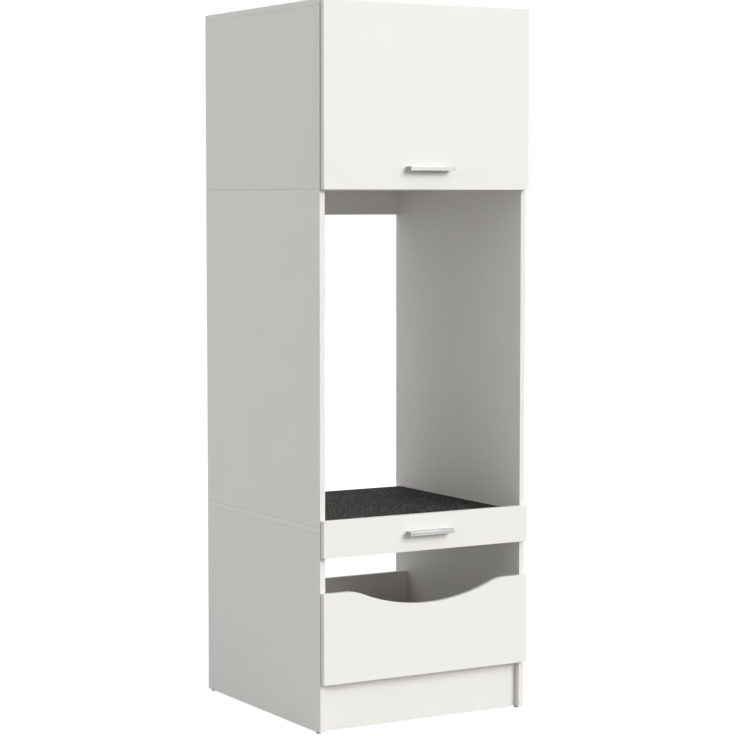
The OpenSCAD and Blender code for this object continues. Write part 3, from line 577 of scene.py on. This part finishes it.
def ragged_outline(low, high):
    """The mat's outline in (x, y), whose points lie inwards of its box by small random amounts."""
    corners = [(low.x, low.y), (high.x, low.y), (high.x, high.y), (low.x, high.y)]
    middle = (low + high) / 2
    outline = []
    for (ax, ay), (bx, by) in zip(corners, corners[1:] + corners[:1]):
        count = round(math.hypot(bx - ax, by - ay) / MAT_STEP)
        for i in range(count):
            x, y = ax + (bx - ax) * i / count, ay + (by - ay) * i / count
            pull = MAT_RAGGED * random.random()
            x -= math.copysign(pull, x - middle.x)
            y -= math.copysign(pull, y - middle.y)
            outline.append((x, y))
    return outline


def mat_piece(node):
    random.seed(MAT_SEED)
    low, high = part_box(node)
    bm = bmesh.new()
    outline = [(x, y, low.z) for x, y in ragged_outline(low, high)]
    _, top = prism(bm, outline, (0, 0, high.z - low.z))
    rounded(bm, rims(bm, top), MAT_RIM, SOFT_STEPS)
    new_piece("granulate_mat", bm, node, (FINISH[node_slots[node]],))


def islands(mesh):
    """The mesh's separate solids, each as a list of points."""
    bm = bmesh.new()
    bm.from_mesh(mesh)
    bmesh.ops.remove_doubles(bm, verts=bm.verts, dist=WELD)
    left, found = set(bm.verts), []
    while left:
        stack, group = [left.pop()], []
        while stack:
            vert = stack.pop()
            group.append(vert.co.copy())
            for edge in vert.link_edges:
                other = edge.other_vert(vert)
                if other in left:
                    left.remove(other)
                    stack.append(other)
        found.append(group)
    bm.free()
    return found


def extent(points):
    """The lowest and the highest corner of some points."""
    low = Vector(min(point[axis] for point in points) for axis in range(3))
    high = Vector(max(point[axis] for point in points) for axis in range(3))
    return low, high


def turned(bm, profile, centre):
    """A lathe piece: a (radius, height) profile round the upright line through centre."""
    turns = [2 * math.pi * i / LATHE_STEPS for i in range(LATHE_STEPS)]
    rings = [
        [
            bm.verts.new(
                (centre.x + radius * math.cos(turn), centre.y + radius * math.sin(turn), height)
            )
            for turn in turns
        ]
        for radius, height in profile
    ]
    for lower, upper in zip(rings, rings[1:]):
        for i in range(LATHE_STEPS):
            j = (i + 1) % LATHE_STEPS
            bm.faces.new((lower[i], lower[j], upper[j], upper[i]))
    bm.faces.new(list(reversed(rings[0])))
    bm.faces.new(rings[-1])


def glide_profile(radius, sole, top):
    """A glide's (radius, height) points, from the hollow in its sole up to its shoulder."""
    rim = arc((radius - GLIDE_RIM, sole + GLIDE_RIM), GLIDE_RIM, -90, 0, GLIDE_RIM_STEPS)
    return [
        (radius * GLIDE_HOLLOW_R, sole + GLIDE_HOLLOW_H),
        (radius * GLIDE_SOLE_R, sole),
        *rim,
        (radius, top - GLIDE_SHOULDER_H),
        (radius - GLIDE_SHOULDER_W, top),
    ]


def glide_pieces(node):
    """All glides as one piece. They reach from the floor to the lower edge of the sides."""
    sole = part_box(node)[0].z
    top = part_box("base_side_left")[0].z
    bm = bmesh.new()
    for points in islands(nodes[node].data):
        low, high = extent(points)
        turned(bm, glide_profile((high.x - low.x) / 2, sole, top), (low + high) / 2)
    new_piece("moulded_glides", bm, node, (FINISH[node_slots[node]],))


def finish_nodes():
    """Gives every CAD node the look of its slot."""
    for node, piece in nodes.items():
        material = FINISH[node_slots[node]]
        if not piece.material_slots:
            piece.data.materials.append(material)
        for place in piece.material_slots:
            place.material = material


def light_paths(tree):
    """1 for rays that see the plain white background: camera, glossy and transmission rays."""
    rays = tree.nodes.new("ShaderNodeLightPath")
    seen = rays.outputs["Is Camera Ray"]
    for name in ("Is Glossy Ray", "Is Transmission Ray"):
        largest = tree.nodes.new("ShaderNodeMath")
        largest.operation = "MAXIMUM"
        tree.links.new(seen, largest.inputs[0])
        tree.links.new(rays.outputs[name], largest.inputs[1])
        seen = largest.outputs[0]
    return seen


def studio_world():
    world = bpy.data.worlds.new("studio")
    bpy.context.scene.world = world
    world.use_nodes = True
    tree = world.node_tree
    strength = tree.nodes.new("ShaderNodeMapRange")
    strength.inputs["To Min"].default_value = AMBIENT
    strength.inputs["To Max"].default_value = 1.0
    tree.links.new(light_paths(tree), strength.inputs["Value"])
    back = tree.nodes["Background"]
    back.inputs["Color"].default_value = WHITE
    tree.links.new(strength.outputs["Result"], back.inputs["Strength"])


def floor_material():
    """A matt grey that takes light and shadow, and glows for the rays that see the background."""
    material = bpy.data.materials.new("studio_floor")
    material.use_nodes = True
    tree = material.node_tree
    shader = tree.nodes["Principled BSDF"]
    shader.inputs["Base Color"].default_value = FLOOR_COLOUR
    shader.inputs["Roughness"].default_value = FLOOR_ROUGHNESS
    shader.inputs["Specular IOR Level"].default_value = FLOOR_SPECULAR
    shader.inputs["Emission Color"].default_value = WHITE
    glow = tree.nodes.new("ShaderNodeMath")
    glow.operation = "MULTIPLY"
    glow.inputs[1].default_value = FLOOR_GLOW
    tree.links.new(light_paths(tree), glow.inputs[0])
    tree.links.new(glow.outputs[0], shader.inputs["Emission Strength"])
    return material


def studio_floor():
    half = FLOOR_SIZE / 2
    corners = [(-half, -half, 0), (half, -half, 0), (half, half, 0), (-half, half, 0)]
    bm = bmesh.new()
    bm.faces.new([bm.verts.new(corner) for corner in corners])
    mesh = bpy.data.meshes.new("floor")
    bm.to_mesh(mesh)
    bm.free()
    mesh.materials.append(floor_material())
    floor = bpy.data.objects.new("floor", mesh)
    bpy.context.scene.collection.objects.link(floor)


def studio_lamp(name, turn, rise, spread, strength):
    """A soft light from far away, seen under the angle spread."""
    turn, rise = math.radians(turn), math.radians(rise)
    level = math.cos(rise)
    away = Vector((math.sin(turn) * level, -math.cos(turn) * level, math.sin(rise)))
    lamp = bpy.data.lights.new(name, "SUN")
    lamp.angle = math.radians(spread)
    lamp.energy = strength
    holder = bpy.data.objects.new(name, lamp)
    holder.location = (cad_low + cad_high) / 2 + away * (cad_high - cad_low).length
    holder.rotation_mode = "QUATERNION"
    holder.rotation_quaternion = away.to_track_quat("Z", "Y")
    bpy.context.scene.collection.objects.link(holder)


def photo_camera():
    camera = bpy.data.cameras.new("photo_camera")
    camera.sensor_width = SENSOR
    camera.lens = SENSOR * FOCAL_PX / FRAME_PX
    eye = bpy.data.objects.new("photo_camera", camera)
    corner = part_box("bay_side_left")[0]
    eye.location = Vector((corner.x, corner.y, 0)) + Vector(CAMERA_FROM_CORNER)
    eye.rotation_euler = (math.radians(90 + CAMERA_PITCH), 0.0, math.radians(-CAMERA_YAW))
    bpy.context.scene.collection.objects.link(eye)
    bpy.context.scene.camera = eye


for board, slot in node_slots.items():
    if slot in ("carcass_board", "front_board") and board != "laundry_front":
        dress_board(board)
wave_front("laundry_front")
for handle in ("flap_handle", "shelf_handle"):
    handle_piece(handle)
mat_piece("anti_vibration_mat")
glide_pieces("glides")
finish_nodes()

studio_world()
studio_floor()
for lamp_name, lamp_sizes in LAMPS.items():
    studio_lamp(lamp_name, **lamp_sizes)
photo_camera()
bpy.context.scene.view_settings.view_transform = "Standard"
